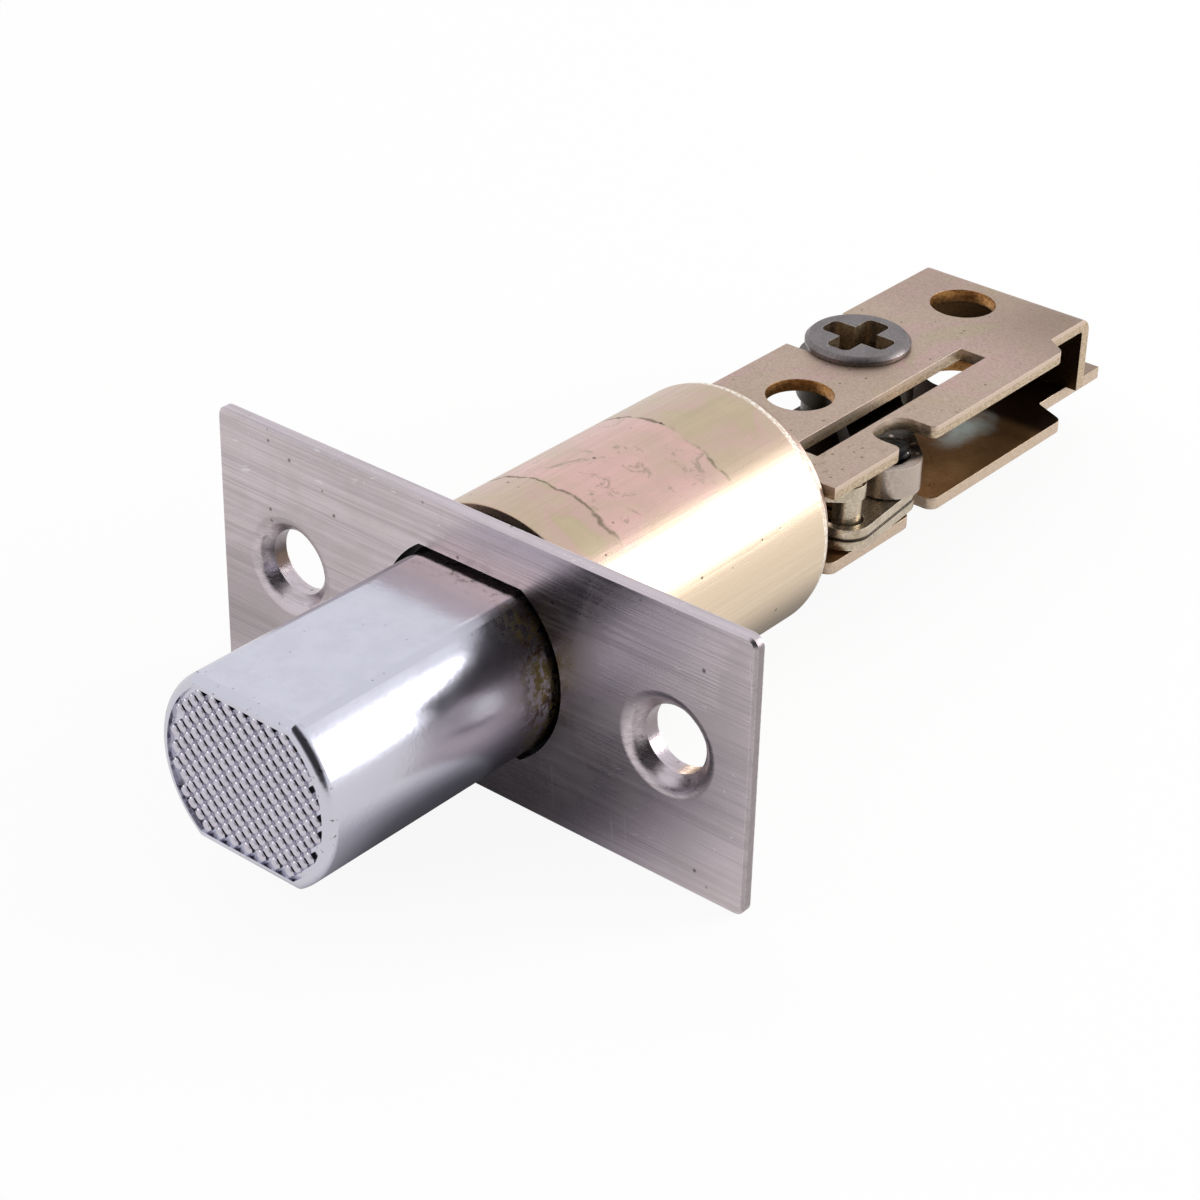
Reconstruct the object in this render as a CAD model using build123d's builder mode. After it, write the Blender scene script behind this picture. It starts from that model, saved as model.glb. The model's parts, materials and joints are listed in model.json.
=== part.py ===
from build123d import *
from math import cos, radians, sin
import os

os.makedirs("parts", exist_ok=True)

# Frame
# The origin is the centre of the faceplate's front face, on the axis of the bolt.
# X runs along the faceplate, Y from the door's edge into the door, Z along the hub's axis.
# The bolt is thrown: it stands out of the faceplate toward -Y.

# Driving sizes, in millimetres

throw = 25.4            # travel of the bolt
turn_angle = 90.0       # turn of the hub, degrees

plate_length = 57.15
plate_width = 25.4
plate_thickness = 1.0
plate_corner = 1.0
plate_edge = 0.25
screw_spacing = 41.0
screw_hole_radius = 3.0
screw_sink_radius = 4.2
screw_sink_depth = 1.2
screw_collar_wall = 0.75
screw_collar_depth = 2.6

bolt_radius = 9.2
bolt_flat = 7.5         # bolt axis to each flat
bolt_edge = 0.9
bolt_rim = 0.9          # land left round the patterned end
bolt_recess = 0.4
bolt_shoulder = 1.5
shoulder_gap = 0.2      # shoulder to the tube's bore
opening_gap = 0.55      # bolt to the edge of the faceplate's opening

tube_wall = 1.0
tube_lip = 0.7
tube_lip_width = 1.3
lip_strokes = 3         # short tapers that roll the tube's end inward
tube_gap = 2.9          # back of the faceplate to the front rim of the tube

bush_length = 4.2
bush_wall = 1.24        # between the bolt and the tube's bore
bush_neck_wall = 0.8
bush_neck_end = 0.4     # end of the neck short of the tube's rim
running_gap = 0.06
press_gap = 0.05
stop_gap = 0.3

ring_flange = 0.8
ring_nose = 2.1
ring_land = 0.45        # narrowest wall between the window's corners and the outside
ring_edge = 0.4

sheet = 1.25
plates_apart = 6.4      # clear height between the two plates
edge_shift = 0.1        # plates stand this much to the right of the tube's mouth
rear_reach = 20.2       # hub axis to the outside of the end wall
rear_lip = 5.0          # lower plate behind the end wall
step_depth = 2.2
step_ahead = 1.0        # step in the plates' edge ahead of the pin when the bolt is back
step_run = 1.5
low_step_lag = 1.1      # step of the lower plate behind that of the upper one
low_step_depth = 3.4
bend_radius = 0.35      # inside the fold of the end wall
pocket_ahead = 1.9
pocket_behind = 3.3
pocket_web = 0.5        # metal left between the pocket and the tail's slot
pocket_corner = 2.0
low_pocket_lag = 0.5    # pocket of the lower plate behind the pin
low_pocket_width = 3.4
low_pocket_corner = 1.2
low_corner = 1.0
tab_corner = 1.0
tenon_width = 3.0
tenon_pitch = 9.5

bolt_hole_radius = 3.2
bolt_hole_pitch = 26.5
bolt_hole_offset = 2.35 # line of the two holes beside the hub axis
bolt_hole_shift = 0.95  # middle of the two holes behind the hub axis

hub_neck = 4.42
hub_head_radius = 5.05
hub_head = 0.8
hub_collar = 5.6
hub_foot = 0.55
cross_tip = 3.6
cross_width = 2.5
cross_corner = 0.7
arm_width = 6.0
arm_thickness = 3.0
arm_top = 2.3
arm_fillet = 2.0
pin_slack = 1.0         # empty length of the arm's slot beyond the pin
arm_end_wall = 0.9

pin_radius = 1.4
pin_head_radius = 2.0
pin_head = 0.65
post_radius = 1.3
post_inset = 1.6        # post inside the plates' right edge
post_ahead = 4.4        # end ring to post
link_reach = 7.6        # post to pin, along the bolt axis
link_thickness = 1.05
link_eye_wall = 1.2
link_foot_wall = 0.8
post_fit = 0.26         # round the post at the end of the links' slot
link_gap = 0.15

tail_inset = 6.1        # middle of the tail inside the plates' right edge
tail_thickness = 2.4
tail_gap = 0.2          # tail to each side of the upper plate's slot
tail_depth = 11.4       # length of tail inside the bolt
tongue_sink = 0.55      # tongue's edge below the face of the plate it runs in
tongue_behind = 0.3     # tongue's end behind the post
lug_thickness = 1.45
lug_wall = 0.3
lug_root = 2.0
tail_pin_radius = 1.5

tiny = 0.01             # reach when an edge or corner is picked by its place

# Places worked out from the driving sizes

bush_rear = plate_thickness + bush_length
bolt_rear = bush_rear + stop_gap + bolt_shoulder
ring_front = bolt_rear + throw + stop_gap
ring_step = ring_front + ring_flange
ring_rear = ring_step + ring_nose
tube_front = plate_thickness + tube_gap
tube_rear = ring_step + tube_lip
tube_bore = bolt_radius + running_gap + bush_wall
tube_radius = tube_bore + tube_wall
tube_mouth = tube_radius - tube_lip_width
ring_radius = tube_mouth - press_gap

inner = plates_apart / 2
outer = inner + sheet
left_edge = tube_mouth - edge_shift
right_edge = tube_mouth + edge_shift
narrow_edge = right_edge - step_depth
low_narrow_edge = right_edge - low_step_depth
window_height = outer + press_gap
window_half = ((ring_radius - ring_land) ** 2 - window_height ** 2) ** 0.5
tongue_half = window_half - press_gap
shoulder_y = ring_rear + press_gap

half_turn = radians(turn_angle / 2)
crank_radius = throw / (2 * sin(half_turn))
post_x = right_edge - post_inset
post_y = ring_rear + post_ahead
pin_y = post_y + link_reach
pin_back_y = pin_y + throw
hub_x = hub_head_radius - left_edge
hub_y = pin_y + throw / 2           # the latch's backset
pin_x = hub_x + crank_radius * cos(half_turn)
bolt_hole_x = hub_x + bolt_hole_offset
hole_middle = hub_y + bolt_hole_shift

wall_rear = hub_y + rear_reach
lip_rear = wall_rear + rear_lip
step_front = pin_back_y - step_ahead
low_step_front = step_front + low_step_lag
tail_x = right_edge - tail_inset
slot_width = tail_thickness + 2 * tail_gap
tail_top = outer - tongue_sink
tail_foot = inner - stop_gap
tongue_rear = post_y + tongue_behind
slot_rear = tongue_rear + throw + stop_gap
pocket_floor = tail_x + slot_width / 2 + pocket_web
pocket_mouth = right_edge + 2 * pocket_corner
pocket_front = pin_y - pocket_ahead
pocket_rear = pin_y + pocket_behind
low_pocket_front = pin_y + low_pocket_lag
low_pocket_rear = low_pocket_front + low_pocket_width

arm_bottom = arm_top - arm_thickness
link_top = arm_bottom - link_gap
link_joint = link_top - link_thickness
link_bottom = link_joint - link_thickness
pin_slot_radius = pin_radius + running_gap
arm_end = crank_radius + pin_slack + pin_slot_radius + arm_end_wall


# Sideways and lengthways play that the links need on the post, because they keep
# their direction while the pin goes round the hub and the bolt moves evenly.

def pin_lag(share):
    """Distance of the pin ahead of the bolt when the given share of the turn is done."""
    angle = radians(turn_angle) * (share - 0.5)
    return crank_radius * sin(angle) - throw * (share - 0.5)


post_play = max(abs(pin_lag(step / 40)) for step in range(41)) + 2 * running_gap
post_travel = crank_radius * (1 - cos(half_turn)) + running_gap
foot_radius = post_radius + post_play + link_foot_wall
tail_step = post_y - foot_radius - 4 * tail_gap


# Planes and outlines used more than once

def across(y):
    """Plane square to the bolt axis at y, with its own x along X and y along Z."""
    return Plane.XZ.offset(-y)


def arm_plane(z):
    """Level plane on the hub axis, with its own x along the arm."""
    return Plane(origin=(hub_x, hub_y, z), x_dir=(cos(half_turn), -sin(half_turn), 0), z_dir=(0, 0, 1))


def bolt_section(growth):
    """Round bar with a flat above and below, larger than the bolt by growth all round."""
    with BuildSketch() as section:
        Circle(bolt_radius + growth)
        Rectangle(2 * (bolt_radius + growth), 2 * (bolt_flat + growth), mode=Mode.INTERSECT)
    return section.sketch


def side_plate(rear, step, narrow, front_of_pocket, rear_of_pocket, pocket_round):
    """Outline of a side plate from its tongue in the end ring to the given rear edge."""
    with BuildSketch() as outline:
        with BuildLine():
            Polyline(
                (-tongue_half, ring_front),
                (tongue_half, ring_front),
                (tongue_half, shoulder_y),
                (right_edge, shoulder_y),
                (right_edge, step),
                (narrow, step + step_run),
                (narrow, rear),
                (-left_edge, rear),
                (-left_edge, shoulder_y),
                (-tongue_half, shoulder_y),
                close=True,
            )
        make_face()
        right_side = outline.vertices().filter_by_position(Axis.X, right_edge - tiny, right_edge + tiny)
        fillet(right_side.sort_by(Axis.Y)[-1], tab_corner)
        with Locations(((pocket_floor + pocket_mouth) / 2, (front_of_pocket + rear_of_pocket) / 2)):
            RectangleRounded(
                pocket_mouth - pocket_floor,
                rear_of_pocket - front_of_pocket,
                pocket_round,
                mode=Mode.SUBTRACT,
            )
        with Locations((bolt_hole_x, hole_middle)):
            with GridLocations(0, bolt_hole_pitch, 1, 2):
                Circle(bolt_hole_radius, mode=Mode.SUBTRACT)
    return outline.sketch


def link_outline():
    """Link from its slotted foot on the post to its eye on the pin."""
    swing = (post_x, post_y), (post_x - post_travel / 2, post_y), (post_x - post_travel, post_y)
    with BuildSketch() as slot:
        with Locations(swing[0]):
            Circle(post_radius + post_fit)
        with Locations(*swing[1:]):
            Circle(post_radius + post_play)
        make_hull()
    with BuildSketch() as outline:
        with Locations(swing[0]):
            Circle(post_radius + post_fit + link_foot_wall)
        with Locations(*swing[1:]):
            Circle(foot_radius)
        with Locations((pin_x, pin_y)):
            Circle(pin_radius + link_eye_wall)
        make_hull()
        with Locations((pin_x, pin_y)):
            Circle(pin_radius, mode=Mode.SUBTRACT)
        add(slot.sketch, mode=Mode.SUBTRACT)
    return outline.sketch


def lip_point(degrees):
    """Point of the tube's rolled lip, from its side at 0 degrees round to its mouth at 90."""
    angle = radians(degrees)
    return (tube_mouth + tube_lip_width * cos(angle), tube_rear - tube_lip_width * (1 - sin(angle)))


def edges_at(piece, direction, axis, place):
    """Straight edges along a direction that lie at one place on another axis."""
    return piece.edges().filter_by(direction).filter_by_position(axis, place - tiny, place + tiny)


def finish(piece, label):
    """Name a finished piece and write it."""
    piece.label = label
    export_step(piece, f"parts/{label}.step")


# Faceplate, with its two dimpled screw holes

with BuildPart() as faceplate:
    with BuildSketch(across(0)):
        RectangleRounded(plate_length, plate_width, plate_corner)
    extrude(amount=-plate_thickness)
    chamfer(faceplate.faces().sort_by(Axis.Y)[0].edges(), plate_edge)
    with BuildSketch(across(plate_thickness)):
        with GridLocations(screw_spacing, 0, 2, 1):
            Circle(screw_hole_radius + screw_collar_wall)
    extrude(amount=-(screw_collar_depth - plate_thickness))
    with BuildSketch(across(0)):
        add(bolt_section(opening_gap))
        with GridLocations(screw_spacing, 0, 2, 1):
            Circle(screw_hole_radius)
    extrude(amount=-screw_collar_depth, mode=Mode.SUBTRACT)
    with Locations(across(0)):
        with GridLocations(screw_spacing, 0, 2, 1):
            Cone(
                screw_hole_radius,
                screw_sink_radius,
                screw_sink_depth,
                align=(Align.CENTER, Align.CENTER, Align.MAX),
                mode=Mode.SUBTRACT,
            )

finish(faceplate.part, "faceplate")

# Guide bush, which joins the faceplate to the tube and keeps the bolt from turning

with BuildPart() as guide_bush:
    with BuildSketch(across(plate_thickness)):
        Circle(tube_bore - press_gap)
    extrude(amount=-bush_length)
    with BuildSketch(across(plate_thickness)):
        Circle(tube_bore)
        Circle(bolt_radius + running_gap + bush_neck_wall, mode=Mode.SUBTRACT)
    extrude(amount=-(tube_gap - bush_neck_end), mode=Mode.SUBTRACT)
    with BuildSketch(across(plate_thickness)):
        add(bolt_section(running_gap))
    extrude(amount=-bush_length, mode=Mode.SUBTRACT)

finish(guide_bush.part, "guide_bush")

# Tube, rolled in over the end ring at the back

with BuildPart() as tube:
    with BuildSketch(Plane.XY):
        with BuildLine():
            Polyline(
                (tube_bore, tube_front),
                (tube_radius, tube_front),
                *[lip_point(90 * step / lip_strokes) for step in range(lip_strokes + 1)],
                (tube_mouth, ring_step),
                (tube_bore, ring_step),
                close=True,
            )
        make_face()
    revolve(axis=Axis.Y)

finish(tube.part, "tube")

# End ring, which holds the tongues of the two plates

with BuildPart() as end_ring:
    with BuildSketch(across(ring_front)):
        Circle(tube_bore - press_gap)
    extrude(amount=-ring_flange)
    with BuildSketch(across(ring_step)):
        Circle(ring_radius)
    extrude(amount=-ring_nose)
    chamfer(end_ring.faces().sort_by(Axis.Y)[-1].edges(), ring_edge)
    with BuildSketch(across(ring_front)):
        Rectangle(2 * window_half, 2 * window_height)
    extrude(amount=-(ring_flange + ring_nose), mode=Mode.SUBTRACT)

finish(end_ring.part, "end_ring")

# Upper plate, notched for the hub, slotted for the tail and folded down into the end wall

with BuildPart() as upper_plate:
    with BuildSketch(Plane.XY.offset(inner)):
        add(side_plate(wall_rear, step_front, narrow_edge, pocket_front, pocket_rear, pocket_corner))
        with Locations((tail_x, (ring_front + slot_rear) / 2)):
            Rectangle(slot_width, slot_rear - ring_front, mode=Mode.SUBTRACT)
        with Locations((hub_x, hub_y)):
            Circle(hub_neck + running_gap, mode=Mode.SUBTRACT)
        with Locations(((hub_x - left_edge) / 2 - sheet, hub_y)):
            Rectangle(hub_x + left_edge + 2 * sheet, 2 * (hub_neck + running_gap), mode=Mode.SUBTRACT)
    extrude(amount=sheet)
    with BuildSketch(Plane.XY.offset(-inner)):
        with Locations(((narrow_edge - left_edge) / 2, wall_rear - sheet / 2)):
            Rectangle(narrow_edge + left_edge, sheet)
    extrude(amount=plates_apart + sheet / 2)
    with BuildSketch(Plane.XY.offset(-outer)):
        with Locations(((narrow_edge - left_edge) / 2, wall_rear - sheet / 2)):
            with GridLocations(tenon_pitch, 0, 2, 1):
                Rectangle(tenon_width, sheet)
    extrude(amount=sheet)
    fillet(edges_at(upper_plate, Axis.X, Axis.Y, wall_rear).sort_by(Axis.Z)[-1], sheet + bend_radius)
    fillet(edges_at(upper_plate, Axis.X, Axis.Y, wall_rear - sheet).sort_by(Axis.Z)[-1], bend_radius)

finish(upper_plate.part, "upper_plate")

# Lower plate, with the hub's lower bearing and the slots for the end wall's tenons

with BuildPart() as lower_plate:
    with BuildSketch(Plane.XY.offset(-outer)) as low_outline:
        add(
            side_plate(
                lip_rear,
                low_step_front,
                low_narrow_edge,
                low_pocket_front,
                low_pocket_rear,
                low_pocket_corner,
            )
        )
        right_side = low_outline.vertices().filter_by_position(Axis.X, right_edge - tiny, right_edge + tiny)
        fillet(right_side.sort_by(Axis.Y)[:3], low_corner)
        with Locations((hub_x, hub_y)):
            Circle(hub_neck + running_gap, mode=Mode.SUBTRACT)
        with Locations(((narrow_edge - left_edge) / 2, wall_rear - sheet / 2)):
            with GridLocations(tenon_pitch, 0, 2, 1):
                Rectangle(tenon_width + 2 * press_gap, sheet + 2 * press_gap, mode=Mode.SUBTRACT)
    extrude(amount=sheet)

finish(lower_plate.part, "lower_plate")

# Bolt, with its patterned end, stop shoulder and slot for the tail

with BuildPart() as bolt:
    with BuildSketch(across(-throw)):
        add(bolt_section(0))
    extrude(amount=-(throw + bolt_rear))
    fillet(bolt.faces().sort_by(Axis.Y)[0].edges(), bolt_edge)
    with BuildSketch(across(-throw)):
        add(bolt_section(-bolt_rim))
    extrude(amount=-bolt_recess, mode=Mode.SUBTRACT)
    with BuildSketch(across(bolt_rear - bolt_shoulder)):
        Circle(tube_bore - shoulder_gap)
    extrude(amount=-bolt_shoulder)
    with BuildSketch(across(bolt_rear - tail_depth)):
        with Locations((tail_x, (tail_top - tail_foot) / 2)):
            Rectangle(tail_thickness + 2 * press_gap, tail_top + tail_foot + 2 * press_gap)
    extrude(amount=-tail_depth, mode=Mode.SUBTRACT)
    with BuildSketch(Plane.YZ.offset(-bolt_radius)):
        with Locations((bolt_rear - tail_depth / 2, 0)):
            Circle(tail_pin_radius)
    extrude(amount=2 * bolt_radius, mode=Mode.SUBTRACT)

finish(bolt.part, "bolt")

# Tail, a plate on edge that runs in the upper plate's slot and carries the post

with BuildPart() as tail:
    with BuildSketch(Plane.YZ.offset(tail_x - tail_thickness / 2)):
        with BuildLine():
            Polyline(
                (bolt_rear - tail_depth, -tail_foot),
                (tail_step, -tail_foot),
                (tail_step, arm_bottom),
                (post_y - 2 * post_radius, arm_bottom),
                (post_y - 2 * post_radius, inner - stop_gap - lug_thickness),
                (post_y - post_radius, inner - stop_gap),
                (tongue_rear, inner - stop_gap),
                (tongue_rear, tail_top),
                (bolt_rear - tail_depth, tail_top),
                close=True,
            )
        make_face()
        with Locations((bolt_rear - tail_depth / 2, 0)):
            Circle(tail_pin_radius, mode=Mode.SUBTRACT)
    extrude(amount=tail_thickness)
    with BuildSketch(Plane.XY.offset(inner - stop_gap - lug_thickness)):
        with Locations((tail_x, post_y - 2 * post_radius - lug_root / 2)):
            Rectangle(tail_thickness, lug_root)
        with Locations((post_x, post_y)):
            Circle(post_radius + lug_wall)
        make_hull()
        with Locations((post_x, post_y)):
            Circle(post_radius, mode=Mode.SUBTRACT)
    extrude(amount=lug_thickness)

finish(tail.part, "tail")

# Cross pin through bolt and tail

with BuildPart() as tail_pin:
    with BuildSketch(Plane.YZ.offset(-(bolt_radius - stop_gap))):
        with Locations((bolt_rear - tail_depth / 2, 0)):
            Circle(tail_pin_radius)
    extrude(amount=2 * (bolt_radius - stop_gap))

finish(tail_pin.part, "tail_pin")

# Post on the tail's lug, on which the links pull the bolt

with BuildPart() as link_post:
    with BuildSketch(Plane.XY.offset(link_bottom)):
        with Locations((post_x, post_y)):
            Circle(post_radius)
    extrude(amount=inner - link_gap - link_bottom)

finish(link_post.part, "link_post")

# Two links side by side, from the post to the pin

with BuildPart() as link_upper:
    with BuildSketch(Plane.XY.offset(link_joint)):
        add(link_outline())
    extrude(amount=link_thickness)

finish(link_upper.part, "link_upper")

with BuildPart() as link_lower:
    with BuildSketch(Plane.XY.offset(link_bottom)):
        add(link_outline())
    extrude(amount=link_thickness)

finish(link_lower.part, "link_lower")

# Pin fixed in the links and working in the arm's slot, with a domed head on top

with BuildPart() as link_pin:
    with BuildSketch(Plane.XY.offset(link_bottom)):
        with Locations((pin_x, pin_y)):
            Circle(pin_radius)
    extrude(amount=arm_top + running_gap - link_bottom)
    with BuildSketch(Plane.XY.offset(arm_top + running_gap)):
        with Locations((pin_x, pin_y)):
            Circle(pin_head_radius)
    extrude(amount=pin_head)
    chamfer(link_pin.faces().sort_by(Axis.Z)[-1].edges(), pin_head / 2)

finish(link_pin.part, "link_pin")

# Cam: hub with its cross-shaped socket and slotted arm, in one casting

with BuildPart() as cam:
    with BuildSketch(arm_plane(arm_bottom)) as arm:
        Circle(hub_collar)
        with Locations((arm_end / 2 - arm_width / 4, 0)):
            Rectangle(arm_end - arm_width / 2, arm_width)
        with Locations((arm_end - arm_width / 2, 0)):
            Circle(arm_width / 2)
        fillet(arm.vertices().sort_by_distance((0, 0, 0))[:2], arm_fillet)
    extrude(amount=arm_thickness)
    with BuildSketch(Plane.XY.offset(arm_top)):
        with Locations((hub_x, hub_y)):
            Circle(hub_collar)
    extrude(amount=inner - running_gap - arm_top)
    with BuildSketch(Plane.XY.offset(-(outer + hub_foot))):
        with Locations((hub_x, hub_y)):
            Circle(hub_neck)
    extrude(amount=2 * outer + hub_foot + running_gap)
    with BuildSketch(Plane.XY.offset(-(inner - running_gap))):
        with Locations((hub_x, hub_y)):
            Circle(hub_head_radius)
    extrude(amount=inner - running_gap + arm_bottom)
    with BuildSketch(Plane.XY.offset(outer + running_gap)):
        with Locations((hub_x, hub_y)):
            Circle(hub_head_radius)
    extrude(amount=hub_head)
    chamfer(cam.faces().sort_by(Axis.Z)[-1].edges(), hub_head / 2)
    with BuildSketch(Plane.XY.offset(-(outer + hub_foot))):
        with Locations((hub_x, hub_y)):
            RectangleRounded(2 * cross_tip, cross_width, cross_corner)
            RectangleRounded(cross_width, 2 * cross_tip, cross_corner)
    extrude(amount=2 * outer + hub_foot + running_gap + hub_head, mode=Mode.SUBTRACT)
    with BuildSketch(arm_plane(arm_bottom)):
        with Locations((crank_radius + pin_slack / 2, 0)):
            SlotCenterToCenter(pin_slack, 2 * pin_slot_radius)
    extrude(amount=arm_thickness, mode=Mode.SUBTRACT)

finish(cam.part, "cam")
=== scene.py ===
import json
import math
import random

import bpy
from bpy.props import FloatProperty, FloatVectorProperty, IntProperty, PointerProperty
from mathutils import Matrix, Vector

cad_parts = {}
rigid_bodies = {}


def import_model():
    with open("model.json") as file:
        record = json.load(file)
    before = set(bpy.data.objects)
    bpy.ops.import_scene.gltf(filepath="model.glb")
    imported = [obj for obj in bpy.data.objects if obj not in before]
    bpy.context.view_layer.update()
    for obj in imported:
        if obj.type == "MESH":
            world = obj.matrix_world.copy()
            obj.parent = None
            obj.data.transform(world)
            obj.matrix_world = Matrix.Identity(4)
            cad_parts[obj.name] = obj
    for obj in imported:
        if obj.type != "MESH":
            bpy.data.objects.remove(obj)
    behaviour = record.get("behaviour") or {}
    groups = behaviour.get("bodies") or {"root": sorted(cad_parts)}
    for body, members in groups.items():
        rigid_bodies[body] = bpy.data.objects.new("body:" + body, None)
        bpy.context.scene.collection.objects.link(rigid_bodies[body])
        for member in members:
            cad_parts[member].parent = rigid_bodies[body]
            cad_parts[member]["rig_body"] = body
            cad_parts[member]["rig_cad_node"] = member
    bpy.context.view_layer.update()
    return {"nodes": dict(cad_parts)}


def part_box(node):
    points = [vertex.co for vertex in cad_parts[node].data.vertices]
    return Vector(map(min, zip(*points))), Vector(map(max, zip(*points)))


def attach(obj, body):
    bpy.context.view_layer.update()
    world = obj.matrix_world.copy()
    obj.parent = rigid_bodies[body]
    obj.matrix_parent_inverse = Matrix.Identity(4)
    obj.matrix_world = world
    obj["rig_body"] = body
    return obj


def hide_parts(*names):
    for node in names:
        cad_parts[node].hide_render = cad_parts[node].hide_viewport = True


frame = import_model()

bl_info = {
    "name": "Tubular deadbolt latch",
    "version": (1, 0, 0),
    "blender": (4, 5, 0),
    "location": "View3D > Sidebar > Latch",
    "description": "Finishes the pieces of a tubular deadbolt latch and sets up its stage",
    "category": "Object",
}

SLIDING, STILL, TURNING, LINKED = "bolt_slide_body", "case", "crank", "links"

# Places on the part, in metres

BOLT_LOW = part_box("bolt")[0]
PLATE_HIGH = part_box("upper_plate")[1]
TUBE_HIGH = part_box("tube")[1]
FACEPLATE_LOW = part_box("faceplate")[0]
PIN_LOW, PIN_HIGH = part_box("link_pin")
PIN_AXIS = Vector(((PIN_LOW.x + PIN_HIGH.x) / 2, (PIN_LOW.y + PIN_HIGH.y) / 2, 0.0))
LINK_JOINT = (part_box("link_lower")[1].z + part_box("link_upper")[0].z) / 2
HUB_AXIS = (-0.00505, 0.0603)
ARM_EYE = 0.0065  # where the arm's eye is painted lighter and warmer, standing in for light on it
RECESS = 0.0004  # depth of the bolt's patterned end
PAD_SUNK = 0.00004  # how far the pads' feet lie in its floor
FEWEST_PADS = 50
TUBE_WALL = (0.01035, 0.01065)  # radii between which the painted shade inside the tube ends
PLATE_INSIDE = (0.00322, 0.00330)  # heights between which the painted shade on the plates' insides ends
NOTCH_MOUTH = 0.0079  # the corners of the notch round the pin lie to the right of this
NOTCH_FRONT, NOTCH_REAR = 0.0440, 0.0530  # and between these
BUMPS = 0.00003  # depth of the fine bumps in most metals


# Selecting and editing

def leave_edit_mode():
    if bpy.context.object and bpy.context.object.mode != "OBJECT":
        bpy.ops.object.mode_set(mode="OBJECT")


def pick_only(*pieces):
    """Select these objects and no others, with the last one active."""
    leave_edit_mode()
    bpy.ops.object.select_all(action="DESELECT")
    for piece in pieces:
        piece.select_set(True)
    bpy.context.view_layer.objects.active = pieces[-1]


def edit(piece, kind="VERT"):
    """Enter edit mode on one piece with nothing selected."""
    pick_only(piece)
    bpy.ops.object.mode_set(mode="EDIT")
    bpy.ops.mesh.select_mode(type=kind)
    bpy.ops.mesh.select_all(action="DESELECT")


def pick_parts(piece, kind, test):
    """In edit mode, select the edges or faces that pass the test."""
    bpy.ops.mesh.select_mode(type=kind)
    bpy.ops.mesh.select_all(action="DESELECT")
    bpy.ops.object.mode_set(mode="OBJECT")
    for part in piece.data.edges if kind == "EDGE" else piece.data.polygons:
        part.select = bool(test(part))
    bpy.ops.object.mode_set(mode="EDIT")


def pick_edges(piece, test):
    """In edit mode, select the edges whose two ends pass the test together."""
    def point(index):
        return piece.data.vertices[index].co
    pick_parts(piece, "EDGE", lambda edge: test(*map(point, edge.vertices)))


def pick_faces(piece, test):
    """In edit mode, select the faces whose normal passes the test."""
    pick_parts(piece, "FACE", lambda face: test(face.normal))


def bevel_edges(piece, test, width, segments):
    """Round the edges whose two ends pass the test together."""
    edit(piece, "EDGE")
    pick_edges(piece, test)
    bpy.ops.mesh.bevel(offset=width, segments=segments, affect="EDGES")
    leave_edit_mode()


def apply_modifier(piece, kind, **settings):
    """Add a modifier, set it and apply it."""
    pick_only(piece)
    bpy.ops.object.modifier_add(type=kind)
    modifier = piece.modifiers[-1]
    for name, value in settings.items():
        setattr(modifier, name, value)
    bpy.ops.object.modifier_apply(modifier=modifier.name)


def round_edges(piece, width, segments, sharper_than):
    """Round every edge that is sharper than an angle in degrees."""
    apply_modifier(
        piece,
        "BEVEL",
        width=width,
        segments=segments,
        limit_method="ANGLE",
        angle_limit=math.radians(sharper_than),
        miter_outer="MITER_ARC",
    )


def smooth(piece, degrees):
    """Shade smoothly across edges up to an angle in degrees, with the large faces kept flat."""
    pick_only(piece)
    bpy.ops.object.shade_smooth_by_angle(angle=math.radians(degrees))
    apply_modifier(piece, "WEIGHTED_NORMAL", keep_sharp=True, weight=60)


def settle(piece):
    """Put the piece's place into its mesh, so its object sits at the origin."""
    pick_only(piece)
    bpy.ops.object.transform_apply(location=True, rotation=True, scale=True)


def join(name, pieces):
    pick_only(*pieces)
    bpy.ops.object.join()
    joined = bpy.context.object
    joined.name = name
    joined.data.name = name
    return joined


def separate_copy(piece, offset, name):
    """A copy with its own mesh, moved by the offset."""
    copy = piece.copy()
    copy.data = piece.data.copy()
    copy.name = name
    copy.location = copy.location + Vector(offset)
    bpy.context.scene.collection.objects.link(copy)
    return copy


def copy_of_node(node, name):
    """A clean, merged copy of a CAD node, ready to have its edges rounded."""
    pick_only(frame["nodes"][node])
    bpy.ops.object.duplicate()
    piece = bpy.context.object
    bpy.ops.object.parent_clear(type="CLEAR_KEEP_TRANSFORM")
    piece.name = name
    piece.data.name = name
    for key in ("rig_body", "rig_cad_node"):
        del piece[key]
    piece.data.materials.clear()
    edit(piece)
    bpy.ops.mesh.customdata_custom_splitnormals_clear()
    bpy.ops.mesh.select_all(action="SELECT")
    bpy.ops.mesh.remove_doubles(threshold=0.000002)
    bpy.ops.mesh.dissolve_limited(angle_limit=math.radians(0.6))
    leave_edit_mode()
    return piece


def hand_over(piece, body, slot, material, *nodes):
    """Give a finished piece its finish and its body, and hide the CAD nodes that it stands for."""
    piece.data.materials.clear()
    piece.data.materials.append(material)
    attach(piece, body)
    if nodes:
        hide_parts(*nodes)


def finish_node(node, ending, body, slot, material, width, segments=2,
                sharper_than=30.0, smooth_to=38.0, shape=None):
    """Copy a CAD node, let shape change it, round its edges, smooth it and hand it over."""
    piece = copy_of_node(node, f"{node}_{ending}")
    if shape:
        shape(piece)
    round_edges(piece, width, segments, sharper_than)
    smooth(piece, smooth_to)
    hand_over(piece, body, slot, material, node)


# Building materials

def feed(socket, value):
    """Join an input to the socket that gives its value, or set it."""
    if isinstance(value, bpy.types.NodeSocket):
        socket.id_data.links.new(value, socket)
    else:
        socket.default_value = value


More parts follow.
